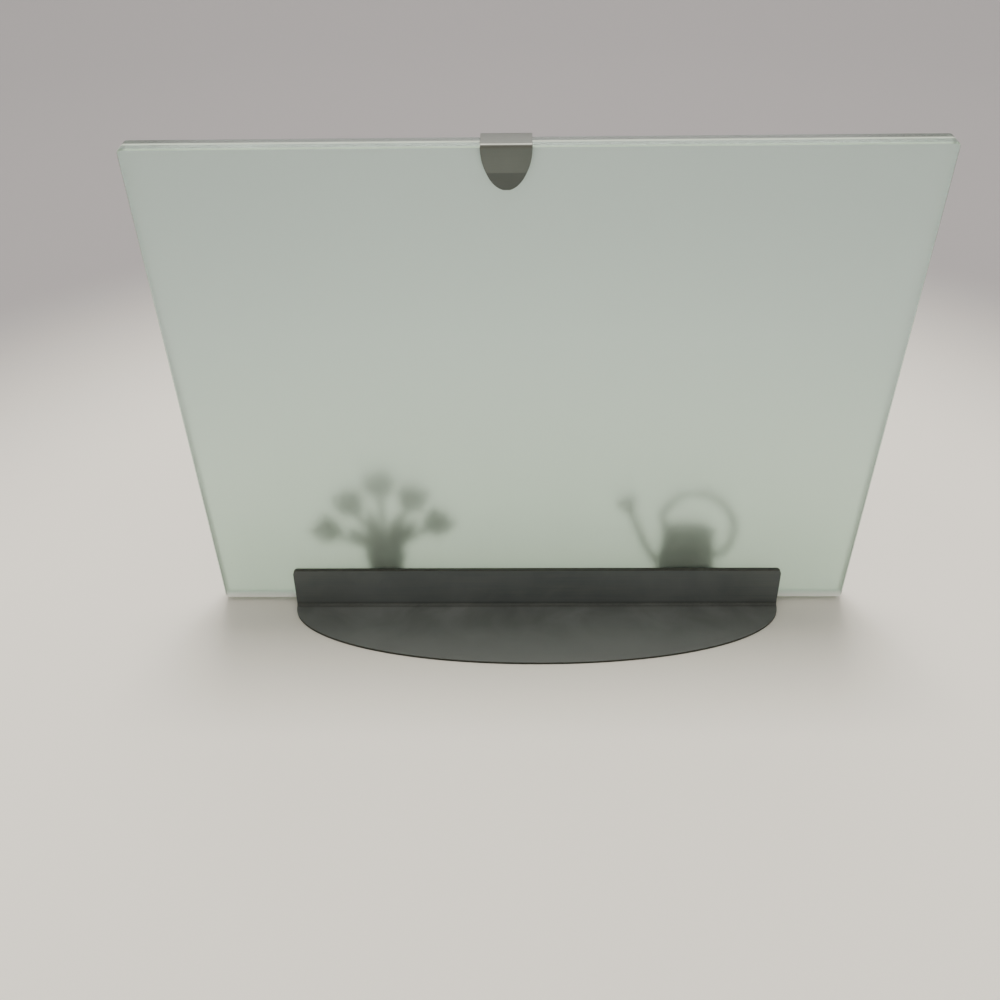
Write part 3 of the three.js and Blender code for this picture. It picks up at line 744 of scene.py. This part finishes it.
def superellipse(half_length, half_depth, height, power=PLINTH_POWER, points=120):
    """A ring between an ellipse and a rectangle, level at a height."""
    ring = []
    for i in range(points):
        angle = 2 * math.pi * i / points
        x, y = math.cos(angle), math.sin(angle)
        ring.append((
            math.copysign(abs(x) ** (2 / power), x) * half_length,
            math.copysign(abs(y) ** (2 / power), y) * half_depth, height,
        ))
    return ring


def joined(name, meshes, material, place, crease=40):
    """One piece of several meshes drawn in millimetres, put in its place."""
    build = bmesh.new()
    for mesh in meshes:
        build.from_mesh(mesh)
    whole = bpy.data.meshes.new(name)
    build.to_mesh(whole)
    build.free()
    whole.transform(place @ Matrix.Scale(MM, 4))
    whole.shade_smooth()
    whole.set_sharp_from_angle(angle=math.radians(crease))
    return new_piece(name, whole, material)


def plinth_meshes():
    """A stepped plinth with its two pegs, standing on z = 0."""
    long, deep, tall = PLINTH_LENGTH / 2, PLINTH_DEPTH / 2, PLINTH_HEIGHT
    slab = loft("plinth", [
        superellipse(long - inset, deep - inset, height) for inset, height in [
            (0.25, 0), (0, 0.15), (0, 0.6), (0.12, 0.75), (0.5, 0.85), (0.62, 1.0),
            (0.62, tall - 0.25), (0.75, tall - 0.08), (0.95, tall),
        ]
    ])
    pegs = []
    for side in (-1, 1):
        peg = loft("peg", turned_rings([
            (PEG_RADIUS - 0.15, -SHEET), (PEG_RADIUS, -SHEET + 0.15), (PEG_RADIUS, 0.3),
        ], 1, 32))
        peg.transform(Matrix.Translation((side * PEG_SPACING / 2, 0, 0)))
        pegs.append(peg)
    return [slab, *pegs]


# Cast pewter: dull grey metal from a sand-fine mould, darkened in its hollows by the antiquing
# bath and rubbed bright on whatever stands proud.
pewter, tree = new_material("antiqued_cast_pewter")
where = add(tree, "ShaderNodeTexCoord").outputs["Object"]
cast = add(tree, "ShaderNodeTexNoise", {
    "Vector": where, "Scale": 1 / 0.0006, "Detail": 4, "Roughness": 0.6,
})
patches = add(tree, "ShaderNodeTexNoise", {"Vector": where, "Scale": 1 / 0.003, "Detail": 3})
hollow = add(tree, "ShaderNodeAmbientOcclusion", {"Distance": 0.002}, samples=8)
open_share = add(tree, "ShaderNodeMapRange", {
    "Value": hollow.outputs["AO"], "From Min": 0.4, "From Max": 1.0,
})
uneven = add(tree, "ShaderNodeMapRange", {"Value": patches, "To Min": -0.25, "To Max": 0.25})
rub = add(tree, "ShaderNodeMath", {0: open_share, 1: uneven}, operation="ADD", use_clamp=True)
tone = add(tree, "ShaderNodeValToRGB", {"Fac": rub})
tone.color_ramp.elements[0].color = linear("#1f1f1d")
tone.color_ramp.elements[1].color = linear("#8f8f8a")
middle = tone.color_ramp.elements.new(0.55)
middle.color = linear("#4f4f4b")
dull = add(tree, "ShaderNodeMapRange", {"Value": rub, "To Min": 0.55, "To Max": 0.24})
grain = add(tree, "ShaderNodeBump", {"Height": cast, "Strength": 0.35, "Distance": 0.00006})
metal = add(tree, "ShaderNodeBsdfPrincipled", {
    "Base Color": tone.outputs["Color"], "Metallic": 1.0, "Roughness": dull, "Normal": grain,
})
add(tree, "ShaderNodeOutputMaterial", {"Surface": metal})

low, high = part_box("tulip_pot")
tulip_place = Matrix.Translation(((low.x + high.x) / 2, (low.y + high.y) / 2, SHEET * MM))
bead_row = bead_row_tree()

pot_top = PLINTH_HEIGHT + POT_HEIGHT
neck = pot_top - POT_RIM_HEIGHT
flute_low, flute_high = PLINTH_HEIGHT + 1.2, neck - 2.2


def pot_flutes(angle, height):
    """Shallow hollows up the pot's side that fade out above and below."""
    if not flute_low < height < flute_high:
        return 1
    share = (height - flute_low) / (flute_high - flute_low)
    return 1 - 0.055 * math.sin(math.pi * share) ** 0.5 * abs(math.cos(10 * angle)) ** 1.5


def pot_side(height):
    """The pot's radius at a height: a cone with a slight belly."""
    share = (height - PLINTH_HEIGHT) / (neck - PLINTH_HEIGHT)
    belly = 0.22 * math.sin(math.pi * share)
    return POT_FOOT_RADIUS + (POT_RIM_RADIUS - 1 - POT_FOOT_RADIUS) * share + belly


mouth = POT_RIM_RADIUS - POT_WALL
heights = [flute_low + (flute_high - flute_low) * i / 12 for i in range(13)]
foot_step = [(0, -PLINTH_HEIGHT / 2), (0.35, 0), (0.45, 0.35), (0.3, 0.7), (0.02, 0.85)]
rim_under = [(-0.85, 0), (-0.2, 0.3), (0, 0.55), (-0.05, 0.8), (-0.3, 1.0)]
rim_over = [(-0.3, -0.8), (-0.05, -0.55), (0, -0.3), (-0.15, -0.05), (-0.4, 0)]
pot = loft("pot", turned_rings([
    *((POT_FOOT_RADIUS + out, PLINTH_HEIGHT + up) for out, up in foot_step),
    *((pot_side(height), height) for height in heights), (pot_side(neck) - 0.1, neck - 0.4),
    *((POT_RIM_RADIUS + out, neck + up) for out, up in rim_under),
    *((POT_RIM_RADIUS + out, pot_top + up) for out, up in rim_over),
    (mouth + 0.15, pot_top), (mouth, pot_top - 0.2), (mouth, pot_top - POT_MOUTH_DEPTH),
], POT_FLATTEN, 160, pot_flutes))
tulip_pot = joined("cast_tulip_pot", [*plinth_meshes(), pot], pewter, tulip_place)
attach(tulip_pot, "stand")
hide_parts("tulip_pot")


def cast_beads(name, ring, radius, count, place, node):
    """A row of beads cast with a piece, as a piece of its own on the same body."""
    beads = grown(line_mesh(name, ring), bead_row, place, crease=60,
                  bead_radius=radius, count=count, finish=pewter)
    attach(beads, "stand")
    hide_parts(node)
    return beads


plinth_beads = superellipse(PLINTH_LENGTH / 2 - 0.62, PLINTH_DEPTH / 2 - 0.62, 1.12)
cast_beads("cast_tulip_plinth_beads", plinth_beads, 0.3, 96, tulip_place, "tulip_pot")
cast_beads("cast_tulip_pot_beads",
           turned_rings([(pot_side(neck - 1.3) + 0.02, neck - 1.3)], POT_FLATTEN)[0],
           0.36, 44, tulip_place, "tulip_pot")


# Tulips: five stems with blooms and four leaves, cast in pewter in one piece with the soil
# that fills the pot's mouth. The soil's crumbs are cast too.
STEM_RADIUS, TULIP_RISE, TULIP_SPREAD = 1, 22, 15.5
BLOOM_HEIGHT, BLOOM_RADIUS = 9.6, 2.9
LEAF_THICKNESS, LEAF_RISE, LEAF_REACH = 1.4, 18, 12
CASTING_GAP = 0.3


def cast_rod_tree():
    """A round rod that follows the edges that it is given and tapers from root to tip."""
    tree, given = open_tree(
        "cast_rod", Line="Geometry", Root_radius="Float", Tip_radius="Float", Steps="Int",
        Sides="Int",
    )
    line = add(tree, "GeometryNodeMeshToCurve", {"Mesh": given["Line"]})
    line = add(tree, "GeometryNodeCurveSplineType", {"Curve": line}, spline_type="CATMULL_ROM")
    line = add(tree, "GeometryNodeResampleCurve", {
        "Curve": line, "Count": given["Steps"],
    }, mode="COUNT")
    taper = add(tree, "ShaderNodeMapRange", {
        "Value": add(tree, "GeometryNodeSplineParameter").outputs["Factor"],
        "To Min": given["Root radius"], "To Max": given["Tip radius"],
    })
    line = add(tree, "GeometryNodeSetCurveRadius", {"Curve": line, "Radius": taper})
    section = add(tree, "GeometryNodeCurvePrimitiveCircle", {
        "Resolution": given["Sides"], "Radius": 1.0,
    })
    rod = add(tree, "GeometryNodeCurveToMesh", {
        "Curve": line, "Profile Curve": section, "Fill Caps": True,
    })
    return close_tree(tree, rod, given)


def smooth_line(name, points):
    """Edges along a smooth curve through the points, for a rod to follow."""
    knots = [Vector(points[0]) * 2 - Vector(points[1]), *map(Vector, points),
             Vector(points[-1]) * 2 - Vector(points[-2])]
    line = []
    for a, b, c, d in zip(knots, knots[1:], knots[2:], knots[3:]):
        for i in range(8):
            t = i / 8
            line.append(0.5 * (2 * b + (c - a) * t + (2 * a - 5 * b + 4 * c - d) * t ** 2
                               + (3 * b - a - 3 * c + d) * t ** 3))
    return line_mesh(name, [*line, knots[-2]], cyclic=False)


def petal_mesh(spread, forward, wide):
    """A pointed petal, hollow inside and ridged down the middle of its outer face."""
    rings = []
    for i in range(17):
        share = i / 16
        height = BLOOM_HEIGHT * share
        swell = math.sin(math.pi * min(1, share * 0.93 + 0.07) ** 0.8) ** 0.75
        half = max(wide * BLOOM_RADIUS * 0.86 * swell, 0.02)
        thin = math.sin(math.pi * min(1, 0.25 + 0.75 * share)) ** 0.5 * (1 - 0.55 * share)
        thick = 0.62 * thin + 0.02
        ring = []
        for k in range(24):
            angle = 2 * math.pi * k / 24
            x, s = half * math.cos(angle), math.sin(angle)
            ridge = 0.1 * math.exp(-(math.cos(angle) / 0.22) ** 2) if s * forward > 0 else 0
            ridge = math.copysign(ridge * (1 - share), forward)
            cup = -forward * 0.22 * (math.cos(angle) ** 2)
            ring.append((x, thick * s + cup + ridge, height))
        rings.append(ring)
    petal = loft("petal", rings)
    petal.transform(Matrix.Translation((0.43 * BLOOM_RADIUS * spread / 17, forward * 0.5, 0))
                    @ Matrix.Rotation(math.radians(spread), 4, "Y"))
    return petal


def leaf_mesh(reach, rise, side):
    """A blade from the soil to a point, thick in the middle and creased along its length."""
    rings = []
    for i in range(21):
        t = i / 20
        root, bow, tip = (1 - t) ** 2, 2 * t * (1 - t), t * t
        outer = Vector(((0.15 * bow + tip) * reach, (0.75 * bow + tip) * rise))
        inner = Vector(((0.3 * root + 0.85 * bow + tip) * reach, (0.35 * bow + tip) * rise))
        middle, half = (outer + inner) / 2, (outer - inner) / 2
        thick = LEAF_THICKNESS / 2 * (1 - 0.6 * t)
        ring = []
        for k in range(20):
            angle = 2 * math.pi * k / 20
            point = middle + half * math.cos(angle)
            crease = 1 - 0.4 * math.exp(-(math.cos(angle) / 0.2) ** 2)
            ring.append((side * point.x, thick * math.sin(angle) * crease, point.y))
        rings.append(ring)
    return loft("leaf", rings)


cast_rod = cast_rod_tree()
soil_z = pot_top - POT_MOUTH_DEPTH + CASTING_GAP
plug_radius = mouth - CASTING_GAP / POT_FLATTEN
soil_top = soil_z + POT_MOUTH_DEPTH
tulip_meshes = []
for number, (out, up, tilt) in enumerate([
    (0.02, 1, 2), (-0.58, 0.78, -16), (0.6, 0.69, 18), (-0.98, 0.38, -40), (1, 0.26, 46),
]):
    head_x, head_z = out * TULIP_SPREAD, pot_top + up * TULIP_RISE
    bow_x, bow_z = 0.5 * head_x - 0.1 * STEM_RADIUS, pot_top + 0.58 * up * TULIP_RISE
    for spread, forward in [(-17, 0.3), (17, -0.3), (0, 1), (0, -1)]:
        petal = petal_mesh(spread, forward, wide=0.92 if spread else 1.0)
        petal.transform(
            Matrix.Translation((head_x, 0, head_z)) @ Matrix.Rotation(math.radians(tilt), 4, "Y")
        )
        tulip_meshes.append(petal)
    stem = grown(smooth_line(f"cast_tulip_stem_{number + 1}", [
        (head_x / 9, 0, soil_z + POT_MOUTH_DEPTH / 2), (bow_x, 0, bow_z),
        (head_x, 0, head_z + 0.1 * BLOOM_HEIGHT),
    ]), cast_rod, tulip_place, root_radius=STEM_RADIUS, tip_radius=0.8 * STEM_RADIUS,
        steps=28, sides=20, finish=pewter, crease=60)
    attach(stem, "stand")
    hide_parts("tulip_stems")
for reach, rise, side in [(1, 0.55, 1), (0.95, 0.74, -1), (0.42, 1, 1), (0.4, 0.84, -1)]:
    leaf = leaf_mesh(reach * LEAF_REACH, rise * LEAF_RISE, side)
    leaf.transform(Matrix.Translation((0, 0, soil_z + 0.75 * POT_MOUTH_DEPTH)))
    tulip_meshes.append(leaf)
tulips = joined("cast_tulips", tulip_meshes, pewter, tulip_place, crease=60)
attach(tulips, "stand")
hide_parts("tulip_stems")


def crumb_tree():
    """Crumbs scattered over the faces that it is given, each turned and sized at random."""
    tree, given = open_tree(
        "soil_crumbs", Soil="Geometry", Density="Float", Smallest="Float", Largest="Float",
        Seed="Int",
    )
    upward = add(tree, "ShaderNodeSeparateXYZ", {0: add(tree, "GeometryNodeInputNormal")})
    upward = add(tree, "ShaderNodeMath", {0: upward.outputs["Z"], 1: 0.5}, operation="GREATER_THAN")
    points = add(tree, "GeometryNodeDistributePointsOnFaces", {
        "Mesh": given["Soil"], "Selection": upward, "Density": given["Density"],
        "Seed": given["Seed"],
    })
    size = add(tree, "FunctionNodeRandomValue", {
        2: given["Smallest"], 3: given["Largest"], "Seed": given["Seed"],
    }, data_type="FLOAT")
    facing = add(tree, "FunctionNodeRandomValue", {
        0: (0, 0, 0), 1: (6.28, 6.28, 6.28), "Seed": given["Seed"],
    }, data_type="FLOAT_VECTOR")
    crumb = add(tree, "GeometryNodeMeshIcoSphere", {"Radius": 1.0, "Subdivisions": 1})
    crumbs = add(tree, "GeometryNodeInstanceOnPoints", {
        "Points": points, "Instance": crumb, "Rotation": facing, "Scale": size.outputs["Value"],
    })
    crumbs = add(tree, "GeometryNodeRealizeInstances", {"Geometry": crumbs})
    both = add(tree, "GeometryNodeJoinGeometry")
    tree.links.new(given["Soil"], both.inputs[0])
    tree.links.new(crumbs.outputs[0], both.inputs[0])
    return close_tree(tree, both, given)


soil = new_piece("cast_pot_soil", loft("cast_pot_soil", turned_rings([
    (plug_radius, soil_z), (plug_radius, soil_top - 0.7), (0.8 * plug_radius, soil_top - 0.15),
    (0.5 * plug_radius, soil_top + 0.15), (0.2 * plug_radius, soil_top + 0.3),
    (0.02, soil_top + 0.32),
], POT_FLATTEN, 48)))
soil = grown(soil, crumb_tree(), tulip_place, crease=50,
             density=9.0, smallest=0.12, largest=0.3, seed=4, finish=pewter)
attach(soil, "stand")
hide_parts("tulip_stems")


# Watering can: cast pewter like the pot, with half-round hoops, ribs between them and its own
# beaded plinth and pegs.
CAN_FOOT_RADIUS, CAN_MOUTH_RADIUS, CAN_HEIGHT = 9.8, 8.2, 20
CAN_WALL, CAN_MOUTH_DEPTH, CAN_BEAD = 1.2, 3.5, 0.5
CAN_FLATTEN = PLINTH_DEPTH / (2 * (CAN_FOOT_RADIUS + CAN_BEAD))

low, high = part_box("watering_can")
can_place = Matrix.Translation(((low.x + high.x) / 2, (low.y + high.y) / 2, SHEET * MM))
can_top = PLINTH_HEIGHT + CAN_HEIGHT


def can_side(height):
    """The can's radius at a height."""
    share = (height - PLINTH_HEIGHT) / CAN_HEIGHT
    return CAN_FOOT_RADIUS + (CAN_MOUTH_RADIUS - CAN_FOOT_RADIUS) * share


def hoop(height, proud=CAN_BEAD, half=0.6):
    """A half-round hoop round the can, as (radius, height) points."""
    angles = [math.pi * i / 6 for i in range(7)]
    return [(can_side(height) + proud * math.sin(a), height - half * math.cos(a)) for a in angles]


rib_low, rib_high = PLINTH_HEIGHT + 4.2, can_top - 5.4


def can_ribs(angle, height):
    """Upright ribs between the hoops."""
    if not rib_low < height < rib_high:
        return 1
    share = (height - rib_low) / (rib_high - rib_low)
    return 1 - 0.03 * min(1, 6 * share, 6 * (1 - share)) * abs(math.sin(14 * angle)) ** 0.7


inner = CAN_MOUTH_RADIUS - CAN_WALL
rib_heights = [
    rib_low + (rib_high - rib_low) * share
    for share in (0, 0.02, 0.08, 0.18, 0.35, 0.5, 0.65, 0.82, 0.92, 0.98, 1)
]
can = loft("can", turned_rings([
    (CAN_FOOT_RADIUS, PLINTH_HEIGHT / 2), *hoop(PLINTH_HEIGHT + 1.2),
    (can_side(PLINTH_HEIGHT + 2.6), PLINTH_HEIGHT + 2.6), *hoop(PLINTH_HEIGHT + 3.4, 0.3, 0.35),
    *((can_side(h), h) for h in rib_heights), *hoop(can_top - 4.6, 0.3, 0.35),
    (can_side(can_top - 3), can_top - 3), *hoop(can_top - 1.5),
    (CAN_MOUTH_RADIUS + 0.05, can_top - 0.5), (CAN_MOUTH_RADIUS + 0.1, can_top - 0.25),
    (CAN_MOUTH_RADIUS - 0.15, can_top), (inner + 0.15, can_top), (inner, can_top - 0.25),
    (inner, can_top - CAN_MOUTH_DEPTH),
], CAN_FLATTEN, 168, can_ribs))
watering_can = joined("cast_watering_can", [*plinth_meshes(), can], pewter, can_place)
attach(watering_can, "stand")
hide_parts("watering_can")
cast_beads("cast_can_plinth_beads", plinth_beads, 0.3, 96, can_place, "watering_can")


# Spout: a tapered pewter tube, soldered into the can's side through a flange. Its rose is a
# flared cup whose domed face is drilled in rings.
SPOUT_RADIUS, ROSE_RADIUS, ROSE_LENGTH, ROSE_TILT = 1.4, 3.5, 3.6, math.radians(24)
SPOUT_ROOT_HEIGHT, SPOUT_REACH, SPOUT_RISE = 6, 19.5, 29


def along_spout(out, up):
    """A point by its shares of the spout's run and climb from its root."""
    root_x, root_z = CAN_FOOT_RADIUS - SPOUT_RADIUS, PLINTH_HEIGHT + SPOUT_ROOT_HEIGHT
    return root_x + out * (SPOUT_REACH - root_x), 0, root_z + up * (SPOUT_RISE - root_z)


can_spout = grown(smooth_line("cast_can_spout", [
    along_spout(0.15, 0.08), along_spout(0.42, 0.25), along_spout(0.77, 0.69), along_spout(1, 1),
]), cast_rod, can_place, root_radius=SPOUT_RADIUS + 0.25, tip_radius=SPOUT_RADIUS - 0.2,
    steps=48, sides=24, finish=pewter, crease=60)
flange = grown(smooth_line("cast_spout_flange", [
    along_spout(0.12, 0.03), along_spout(0.22, 0.1), along_spout(0.3, 0.15),
]), cast_rod, can_place, root_radius=1.5 * SPOUT_RADIUS, tip_radius=1.25 * SPOUT_RADIUS,
    steps=10, sides=24, finish=pewter, crease=60)


def perforation_tree():
    """Round holes on rings about the z axis, cut down into the top of the geometry given."""
    tree, given = open_tree(
        "perforations", Blank="Geometry", Hole_radius="Float", Hole_depth="Float",
        Ring_spacing="Float", Face_height="Float",
    )
    drill = add(tree, "GeometryNodeMeshCylinder", {
        "Vertices": 12, "Radius": given["Hole radius"], "Depth": given["Hole depth"],
    })
    holes = add(tree, "GeometryNodeJoinGeometry")
    up = add(tree, "ShaderNodeCombineXYZ", {"Z": given["Face height"]})
    for ring, count in ((0, 1), (1, 6), (2, 12)):
        radius = add(tree, "ShaderNodeMath", {
            0: given["Ring spacing"], 1: ring + 0.001,
        }, operation="MULTIPLY")
        circle = add(tree, "GeometryNodeMeshCircle", {"Vertices": max(count, 3), "Radius": radius})
        chosen = add(tree, "FunctionNodeCompare", {
            2: add(tree, "GeometryNodeInputIndex"), 3: count,
        }, data_type="INT", operation="LESS_THAN")
        placed = add(tree, "GeometryNodeInstanceOnPoints", {
            "Points": circle, "Selection": chosen, "Instance": drill,
        })
        tree.links.new(placed.outputs[0], holes.inputs[0])
    holes = add(tree, "GeometryNodeSetPosition", {
        "Geometry": add(tree, "GeometryNodeRealizeInstances", {"Geometry": holes}), "Offset": up,
    })
    drilled = add(tree, "GeometryNodeMeshBoolean", {
        "Mesh 1": given["Blank"], "Mesh 2": holes,
    }, operation="DIFFERENCE")
    return close_tree(tree, drilled.outputs["Mesh"], given)


collar = [(0.05, -1), (0.2, -0.7), (0.1, -0.4), (0.5, 0.4)]
brim = [(-0.35, -1.15), (-0.05, -0.95), (0, -0.7), (-0.1, -0.45), (-0.4, -0.35)]
rose_blank = new_piece("cast_spout_rose", loft("cast_spout_rose", turned_rings([
    (0.02, -1), *((SPOUT_RADIUS + out, up) for out, up in collar),
    *((ROSE_RADIUS + out, ROSE_LENGTH + up) for out, up in brim),
    (0.6 * ROSE_RADIUS, ROSE_LENGTH - 0.05), (0.3 * ROSE_RADIUS, ROSE_LENGTH + 0.13),
    (0.02, ROSE_LENGTH + 0.18),
], 0.8, 72)))
rose_place = (
    can_place @ Matrix.Translation((SPOUT_REACH * MM, 0, SPOUT_RISE * MM))
    @ Matrix.Rotation(ROSE_TILT, 4, "Y")
)
rose = grown(rose_blank, perforation_tree(), rose_place, crease=40, hole_radius=0.24,
             hole_depth=1.4, ring_spacing=1.0, face_height=ROSE_LENGTH, finish=pewter)
for piece in (can_spout, flange, rose):
    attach(piece, "stand")
    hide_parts("can_spout")


# Handle: a round pewter bar that rises from the can's mouth, bows over it and comes back into
# its side, soldered at both ends.
HANDLE_RADIUS, HANDLE_RISE, HANDLE_REACH, HANDLE_DROP = 1.1, 13, 6.4, 11.5
can_handle = grown(smooth_line("cast_can_handle", [
    (CAN_MOUTH_RADIUS - CAN_WALL / 2 + 0.1, 0, can_top + 0.3),
    (CAN_MOUTH_RADIUS + CAN_BEAD, 0, can_top + 0.48 * HANDLE_RISE),
    (0.2 * CAN_MOUTH_RADIUS, 0, can_top + HANDLE_RISE),
    (-CAN_MOUTH_RADIUS, 0, can_top + 0.84 * HANDLE_RISE),
    (-CAN_MOUTH_RADIUS - HANDLE_REACH, 0, can_top + 0.12 * HANDLE_RISE),
    (-CAN_MOUTH_RADIUS - 0.84 * HANDLE_REACH, 0, can_top - 0.66 * HANDLE_DROP),
    (-can_side(can_top - HANDLE_DROP) - 0.3, 0, can_top - HANDLE_DROP),
]), cast_rod, can_place, root_radius=HANDLE_RADIUS, tip_radius=HANDLE_RADIUS,
    steps=96, sides=24, finish=pewter, crease=60)
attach(can_handle, "stand")
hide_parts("can_handle")
